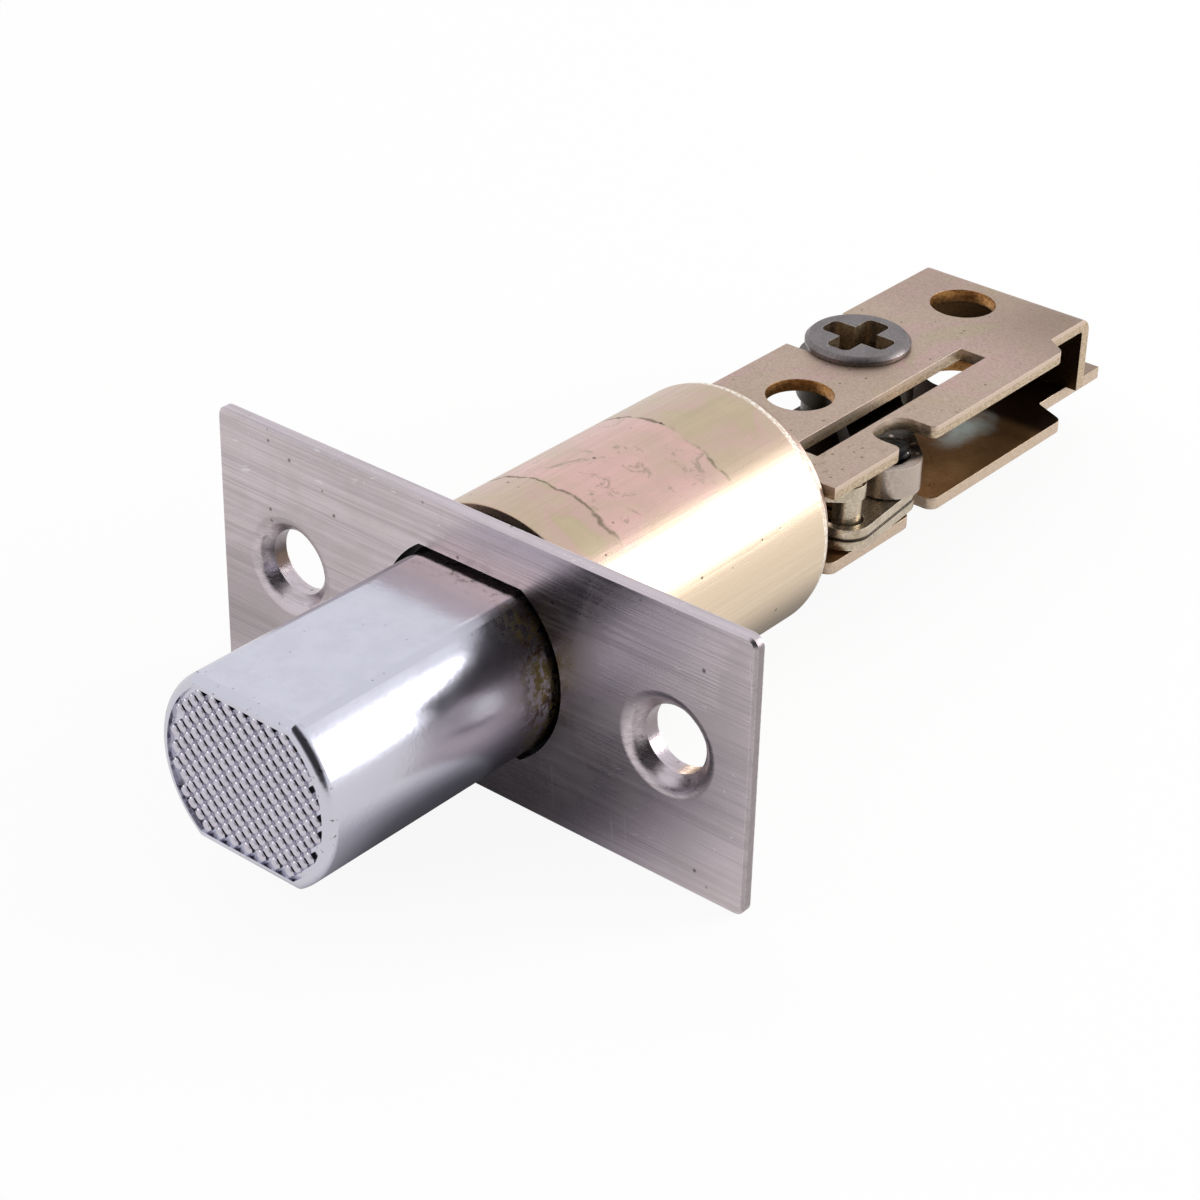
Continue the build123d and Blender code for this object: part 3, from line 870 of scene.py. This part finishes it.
class CaseSettings(bpy.types.PropertyGroup):
    steel_colour: tone("Steel colour", "Colour of the brushed faceplate", (0.60, 0.53, 0.56))
    tube_colour: tone("Tube colour", "Ground colour of the passivated tube", (0.64, 0.50, 0.37))
    sheet_colour: tone(
        "Sheet colour", "Ground colour of the passivated plates", (0.465, 0.355, 0.295))
    screw_spacing: length("Screw spacing", "Distance between the two screw holes", 0.0410)
    dimple_radius: length("Dimple radius", "Outer radius of the screw dimples", 0.0042)
    dimple_rounding: length(
        "Dimple rounding", "Rounding of the outer rim of the screw dimples", 0.00055)
    faceplate_edge: length("Faceplate edge", "Rounding of the faceplate's edges", 0.00012)
    sheet_edge: length("Sheet edge", "Rounding of the plates' sheared edges", 0.00011)
    tube_edge: length(
        "Tube edge", "Rounding of the tube's rims and of the folds in its lip", 0.00025)
    ring_edge: length("Ring edge", "Rounding of the end ring's and the bush's edges", 0.00010)
    label_start: length(
        "Label start", "Where the mark of a removed label starts along the tube", 0.0098)
    label_end: length("Label end", "Where the mark of a removed label ends along the tube", 0.0241)
    notch_corner: length(
        "Notch corner", "Rounding of the two corners of the notch round the pin", 0.00070)
    hole_line: length("Hole line", "Sideways place of the two bolt holes in the plates", -0.0027)
    first_hole: length("First hole", "Place of the front bolt hole along the latch", 0.0480)
    second_hole: length("Second hole", "Place of the rear bolt hole along the latch", 0.0745)


class WorksSettings(bpy.types.PropertyGroup):
    cast_edge: length("Cast edge", "Rounding of the hub's edges", 0.00016)
    link_edge: length("Link edge", "Rounding of the links' edges", 0.00010)
    pin_dome: length("Pin dome", "Rounding of the pin's head", 0.00022)
    grease_reach: length("Grease reach", "How far the grease spreads round the pin's head", 0.00205)
    grease_sunk: length("Grease sunk", "Depth of the lumps' middles in the pin's head", 0.00012)
    grease_lumps: IntProperty(
        name="Grease lumps", description="Number of small lumps of grease on the pin's head",
        default=9)


class StageSettings(bpy.types.PropertyGroup):
    floor_white: share(
        "Floor white", "Share of plain white that the camera sees in the floor", 0.86)
    floor_glow: FloatProperty(
        name="Floor glow", description="Strength of the plain white in the floor",
        default=1.05, min=0.0)
    floor_mirrored: share(
        "Floor in reflections", "Brightness of the open floor in reflections", 0.95)
    floor_tilt: FloatProperty(
        name="Floor tilt", description="Tilt of the floor, on which faceplate and tube both rest",
        default=math.radians(2.08), unit="ROTATION")
    floor_gap: length("Floor gap", "Gap between the faceplate and the floor", 0.00008)
    key_power: FloatProperty(
        name="Key light", description="Power of the large softbox in watts", default=1.75)
    fill_power: FloatProperty(
        name="Fill light", description="Power of the small fill light in watts", default=0.35)
    room: FloatProperty(
        name="Room light", description="Level of the even light round the object", default=0.62)
    lens: FloatProperty(name="Lens", description="Focal length in millimetres", default=89.6456)
    camera_place: FloatVectorProperty(
        name="Camera place", description="Place of the camera",
        default=(0.138346, -0.152590, 0.127419), unit="LENGTH", precision=6)
    camera_turn: FloatVectorProperty(
        name="Camera turn", description="Azimuth, elevation and roll of the camera",
        default=(math.radians(39.284), math.radians(30.714), math.radians(1.334)), unit="ROTATION")


# The bolt and its patterned end

class LATCH_OT_bolt(bpy.types.Operator):
    """Round the bolt's edges and give it its chrome"""
    bl_idname = "latch.bolt"
    bl_label = "Bolt"

    def execute(self, context):
        sizes = context.scene.latch_bolt
        side = math.sqrt(sizes.radius ** 2 - sizes.flat ** 2)

        def on_long_edge(first, last):
            along = (first - last).xz.length < 0.00005 and min(first.y, last.y) < 0.0
            at_side, at_flat = abs(abs(first.x) - side), abs(abs(first.z) - sizes.flat)
            return (along and at_side < 0.00006 and at_flat < 0.00004
                    and abs(first.y - last.y) > 0.001)

        def round_long_edges(piece):
            bevel_edges(piece, on_long_edge, sizes.long_edge, segments=4)

        finish_node("bolt", "bar", SLIDING, "bolt_chrome", chrome_material(sizes), sizes.edge,
                    sharper_than=25.0, shape=round_long_edges)
        return {"FINISHED"}


class LATCH_OT_bolt_end(bpy.types.Operator):
    """Cover the recessed end of the bolt with small tapered pads"""
    bl_idname = "latch.bolt_end"
    bl_label = "Bolt end pattern"

    def execute(self, context):
        sizes = context.scene.latch_bolt
        land = sizes.rim + sizes.pad_size * 0.5 - 0.0001
        radius, flat = sizes.radius - land, sizes.flat - land
        pad = self.first_pad(sizes, BOLT_LOW.y + RECESS)
        step = sizes.pad_pitch / math.sqrt(2.0)
        reach = int(sizes.radius / step) + 1
        pads = []
        for column in range(-reach, reach + 1):
            for row in range(-reach, reach + 1):
                across, up = column * step, row * step
                inside = math.hypot(across, up) < radius and abs(up) < flat
                if (column + row) % 2 == 0 and inside:
                    pads.append(separate_copy(pad, (across, 0.0, up), f"pad_{column}_{row}"))
        if len(pads) < FEWEST_PADS:
            raise RuntimeError("the bolt's end has too few pads")
        bpy.data.objects.remove(pad)
        piece = join("bolt_end_pads", pads)
        settle(piece)
        bpy.ops.object.shade_smooth_by_angle(angle=math.radians(28))
        hand_over(piece, SLIDING, "bolt_chrome", pattern_material())
        return {"FINISHED"}

    def first_pad(self, sizes, floor):
        """One pad on the bolt's axis: an oblong block with cut corners that tapers upwards."""
        depth = sizes.pad_height + PAD_SUNK
        middle = (0.0, floor + PAD_SUNK - depth / 2, 0.0)
        bpy.ops.mesh.primitive_cube_add(size=1.0, location=middle)
        pad = bpy.context.object
        pad.dimensions = (sizes.pad_length, depth, sizes.pad_size)
        settle(pad)
        edit(pad, "EDGE")
        pick_edges(pad, lambda first, last: abs(first.y - last.y) > depth / 2)
        bpy.ops.mesh.bevel(offset=sizes.pad_size * sizes.pad_corner, segments=1, affect="EDGES")
        pick_faces(pad, lambda normal: normal.y > 0.9)
        bpy.ops.mesh.delete(type="FACE")
        pick_faces(pad, lambda normal: normal.y < -0.9)
        taper = (sizes.pad_taper_along, 1.0, sizes.pad_taper)
        top = (0.0, floor - sizes.pad_height, 0.0)
        bpy.ops.transform.resize(value=taper, center_override=top)
        bpy.ops.mesh.bevel(offset=sizes.pad_edge, segments=1, affect="EDGES")
        bpy.ops.mesh.select_all(action="SELECT")
        bpy.ops.mesh.normals_make_consistent(inside=False)
        leave_edit_mode()
        pad.rotation_euler = (0.0, math.radians(45), 0.0)
        settle(pad)
        return pad


# The pieces that stay still

class LATCH_OT_faceplate(bpy.types.Operator):
    """Round the faceplate's edges and soften the pressed rims of its dimples"""
    bl_idname = "latch.faceplate"
    bl_label = "Faceplate"

    def execute(self, context):
        sizes = context.scene.latch_case

        def near_rim(point):
            off = math.hypot(abs(point.x) - sizes.screw_spacing / 2, point.z) - sizes.dimple_radius
            return point.y < 0.0001 and -0.0006 < off < 0.0004

        def soften_dimples(piece):
            bevel_edges(piece, lambda first, last: near_rim(first) and near_rim(last),
                        sizes.dimple_rounding, segments=5)

        finish_node("faceplate", "pressed", STILL, "faceplate_steel", stainless_material(sizes),
                    sizes.faceplate_edge, sharper_than=35.0, smooth_to=40.0, shape=soften_dimples)
        return {"FINISHED"}


class LATCH_OT_tube(bpy.types.Operator):
    """Round the rims of the tube, of the ring in its mouth and of the bush in front"""
    bl_idname = "latch.tube"
    bl_label = "Tube"

    def execute(self, context):
        sizes = context.scene.latch_case
        finish_node("tube", "rolled", STILL, "tube_passivated", tube_material(sizes),
                    sizes.tube_edge, segments=3, sharper_than=12.0)
        finish = cast_material("passivated ring", face=(0.50, 0.37, 0.31), dark=(0.26, 0.18, 0.13),
                               bright=(0.74, 0.60, 0.48), rough=(0.3, 0.45))
        finish_node("end_ring", "pressed", STILL, "tube_passivated", finish, sizes.ring_edge)
        finish = cast_material("dark bush", face=(0.022, 0.021, 0.022), dark=(0.010, 0.010, 0.010),
                               bright=(0.10, 0.09, 0.08), rough=(0.35, 0.55))
        finish_node("guide_bush", "moulded", STILL, "bush_dark", finish, sizes.ring_edge)
        return {"FINISHED"}


class LATCH_OT_plates(bpy.types.Operator):
    """Round the sheared edges of the two side plates"""
    bl_idname = "latch.plates"
    bl_label = "Side plates"

    def execute(self, context):
        sizes = context.scene.latch_case

        def at_mouth(first, last):
            upright = abs(first.z - last.z) > 0.0008 and (first - last).xy.length < 0.00001
            return upright and first.x > NOTCH_MOUTH and NOTCH_FRONT < first.y < NOTCH_REAR

        def round_notch(piece):
            bevel_edges(piece, at_mouth, sizes.notch_corner, segments=5)

        finish = sheet_material(sizes)
        for node, shape in (("upper_plate", round_notch), ("lower_plate", None)):
            finish_node(node, "sheared", STILL, "plate_passivated", finish, sizes.sheet_edge,
                        shape=shape)
        return {"FINISHED"}


# The moving pieces inside

class LATCH_OT_cam(bpy.types.Operator):
    """Round the edges of the hub and its arm"""
    bl_idname = "latch.cam"
    bl_label = "Hub and arm"

    def execute(self, context):
        finish = cast_material("hub nickel", face=(0.34, 0.30, 0.285), dark=(0.15, 0.125, 0.11),
                               bright=(0.80, 0.75, 0.70), rough=(0.26, 0.42), shades=hub_shades)
        width = context.scene.latch_works.cast_edge
        finish_node("cam", "cast", TURNING, "hub_nickel", finish, width)
        return {"FINISHED"}


class LATCH_OT_links(bpy.types.Operator):
    """Round the edges of the links and of the tail that they pull"""
    bl_idname = "latch.links"
    bl_label = "Links and tail"

    def execute(self, context):
        width = context.scene.latch_works.link_edge
        dark, rough = (0.28, 0.22, 0.13), (0.24, 0.42)
        steel = cast_material("link steel", (0.62, 0.54, 0.42), dark, (0.90, 0.82, 0.68), rough)
        blanked = cast_material("link steel blanked", (0.66, 0.57, 0.45), dark,
                                (0.95, 0.88, 0.74), rough, link_shades)
        for node in ("link_upper", "link_lower"):
            finish_node(node, "blanked", LINKED, "link_steel", blanked, width)
        for node in ("tail", "tail_pin", "link_post"):
            finish_node(node, "turned", SLIDING, "link_steel", steel, width)
        return {"FINISHED"}


class LATCH_OT_pin(bpy.types.Operator):
    """Dome the pin's head and lay grease on it"""
    bl_idname = "latch.pin"
    bl_label = "Greased pin"

    def execute(self, context):
        sizes = context.scene.latch_works
        grease = grease_material()
        finish_node("link_pin", "domed", LINKED, "pin_dark", grease, sizes.pin_dome, segments=4,
                    sharper_than=25.0, smooth_to=50.0)
        self.grease(sizes, grease)
        return {"FINISHED"}

    def grease(self, sizes, finish):
        """Small uneven lumps of grease, flattened on the head and round its rim."""
        rng = random.Random(7)
        lumps = []
        for index in range(sizes.grease_lumps):
            turn = rng.uniform(0.0, 2.0 * math.pi)
            reach = sizes.grease_reach * rng.uniform(0.15, 0.92)
            size = rng.uniform(0.00035, 0.00075)
            height = PIN_HIGH.z - sizes.grease_sunk
            place = PIN_AXIS + Vector((math.cos(turn) * reach, math.sin(turn) * reach, height))
            bpy.ops.mesh.primitive_ico_sphere_add(subdivisions=3, radius=size, location=place)
            lump = bpy.context.object
            lump.scale = (rng.uniform(0.8, 1.3), rng.uniform(0.8, 1.3), 0.42)
            settle(lump)
            edit(lump)
            bpy.ops.mesh.select_all(action="SELECT")
            bpy.ops.transform.vertex_random(offset=size * 0.10, seed=index)
            bpy.ops.mesh.vertices_smooth(factor=0.5, repeat=1)
            leave_edit_mode()
            lumps.append(lump)
        piece = join("pin_grease", lumps)
        bpy.ops.object.shade_smooth()
        hand_over(piece, LINKED, "pin_dark", finish)


# Floor, lights and camera

class LATCH_OT_stage(bpy.types.Operator):
    """Set up the floor, the soft lights, the surroundings and the camera"""
    bl_idname = "latch.stage"
    bl_label = "Stage"

    def execute(self, context):
        sizes = context.scene.latch_stage
        self.floor(sizes)
        self.surroundings(sizes)
        self.softbox("key softbox", sizes.key_power, width=0.36,
                     azimuth=45.0, elevation=19.0, distance=0.62)
        fill = self.softbox("fill softbox", sizes.fill_power, width=0.30,
                            azimuth=-60.0, elevation=55.0, distance=0.80)
        fill.visible_glossy = False
        self.camera(sizes)
        context.scene.view_settings.view_transform = "Standard"
        return {"FINISHED"}

    def floor(self, sizes):
        height = FACEPLATE_LOW.z - sizes.floor_gap
        bpy.ops.mesh.primitive_plane_add(size=3.0, location=(0.0, 0.0, height))
        floor = bpy.context.object
        floor.name = "studio_floor"
        floor.rotation_euler = (sizes.floor_tilt, 0.0, 0.0)
        floor.data.materials.append(floor_material(sizes))

    def surroundings(self, sizes):
        """White for the camera, and in reflections white with a dark patch round the camera."""
        world = bpy.data.worlds.new("studio")
        bpy.context.scene.world = world
        world.use_nodes = True
        tree = world.node_tree
        tree.nodes.clear()

        def background(shade, strength=1.0):
            inputs = {"Color": opaque(shade), "Strength": strength}
            return add("ShaderNodeBackground", inputs, tree).outputs[0]

        def chosen(amount, first, second):
            return add("ShaderNodeMixShader", {0: amount, 1: first, 2: second}).outputs[0]

        paths = add("ShaderNodeLightPath", tree=tree).outputs
        direction = add("ShaderNodeTexCoord", tree=tree).outputs["Generated"]
        towards_camera = Vector((0.62, -0.62, 0.48)).normalized()
        dark = between(dot(direction, towards_camera), 0.62, 0.88)
        mirrored = mixed(dark, (0.97, 0.97, 1.0), (0.035, 0.032, 0.036))
        lit = background((1.0, 0.99, 0.98), sizes.room)
        lit = chosen(paths["Is Glossy Ray"], lit, background(mirrored))
        plain = larger(paths["Is Camera Ray"], paths["Is Transmission Ray"])
        seen = chosen(plain, lit, background((1.0, 1.0, 1.0)))
        add("ShaderNodeOutputWorld", {"Surface": seen})

    def softbox(self, name, power, width, azimuth, elevation, distance):
        """A rectangular light that faces the object. Azimuth 0 is behind it, 90 to its right."""
        a, e = math.radians(azimuth), math.radians(elevation)
        away = Vector((math.sin(a) * math.cos(e), math.cos(a) * math.cos(e), math.sin(e)))
        middle = Vector((0.0, 0.02, 0.0))
        bpy.ops.object.light_add(type="AREA", location=middle + away * distance)
        light = bpy.context.object
        light.name = name
        light.data.shape = "RECTANGLE"
        light.data.size = width
        light.data.size_y = 0.30
        light.data.energy = power
        light.rotation_euler = away.to_track_quat("Z", "Y").to_euler()
        light.visible_camera = False
        return light

    def camera(self, sizes):
        azimuth, elevation, roll = sizes.camera_turn
        right = Vector((math.cos(azimuth), math.sin(azimuth), 0.0))
        level = math.cos(elevation)
        ahead = Vector((-math.sin(azimuth) * level, math.cos(azimuth) * level,
                        -math.sin(elevation)))
        up = right.cross(ahead)
        across = math.cos(roll) * right + math.sin(roll) * up
        upward = -math.sin(roll) * right + math.cos(roll) * up
        bpy.ops.object.camera_add()
        camera = bpy.context.object
        camera.name = "photograph camera"
        turn = Matrix((across, upward, -ahead)).transposed().to_4x4()
        camera.matrix_world = Matrix.Translation(Vector(sizes.camera_place)) @ turn
        camera.data.sensor_width = 36.0
        camera.data.lens = sizes.lens
        camera.data.clip_start = 0.01
        camera.data.clip_end = 20.0
        bpy.context.scene.camera = camera


class LATCH_PT_panel(bpy.types.Panel):
    """The pieces of the latch, in the order in which they are made"""
    bl_idname = "LATCH_PT_panel"
    bl_label = "Deadbolt latch"
    bl_space_type = "VIEW_3D"
    bl_region_type = "UI"
    bl_category = "Latch"

    def draw(self, context):
        layout = self.layout
        for operator in OPERATORS:
            layout.operator(operator.bl_idname, text=operator.bl_label)
        for name in SETTINGS:
            box = layout.box()
            settings = getattr(context.scene, name)
            for label in settings.__annotations__:
                box.prop(settings, label)


SETTINGS = {
    "latch_bolt": BoltSettings,
    "latch_case": CaseSettings,
    "latch_works": WorksSettings,
    "latch_stage": StageSettings,
}
OPERATORS = (
    LATCH_OT_bolt,
    LATCH_OT_bolt_end,
    LATCH_OT_faceplate,
    LATCH_OT_tube,
    LATCH_OT_plates,
    LATCH_OT_cam,
    LATCH_OT_links,
    LATCH_OT_pin,
    LATCH_OT_stage,
)


def register():
    for settings in SETTINGS.values():
        bpy.utils.register_class(settings)
    for operator in OPERATORS:
        bpy.utils.register_class(operator)
    bpy.utils.register_class(LATCH_PT_panel)
    for name, settings in SETTINGS.items():
        setattr(bpy.types.Scene, name, PointerProperty(type=settings))


def unregister():
    for name in SETTINGS:
        delattr(bpy.types.Scene, name)
    bpy.utils.unregister_class(LATCH_PT_panel)
    for operator in reversed(OPERATORS):
        bpy.utils.unregister_class(operator)
    for settings in reversed(list(SETTINGS.values())):
        bpy.utils.unregister_class(settings)


def main():
    register()
    bpy.ops.latch.bolt()
    bpy.ops.latch.bolt_end()
    bpy.ops.latch.faceplate()
    bpy.ops.latch.tube()
    bpy.ops.latch.plates()
    bpy.ops.latch.cam()
    bpy.ops.latch.links()
    bpy.ops.latch.pin()
    bpy.ops.latch.stage()


if __name__ == "__main__":
    main()
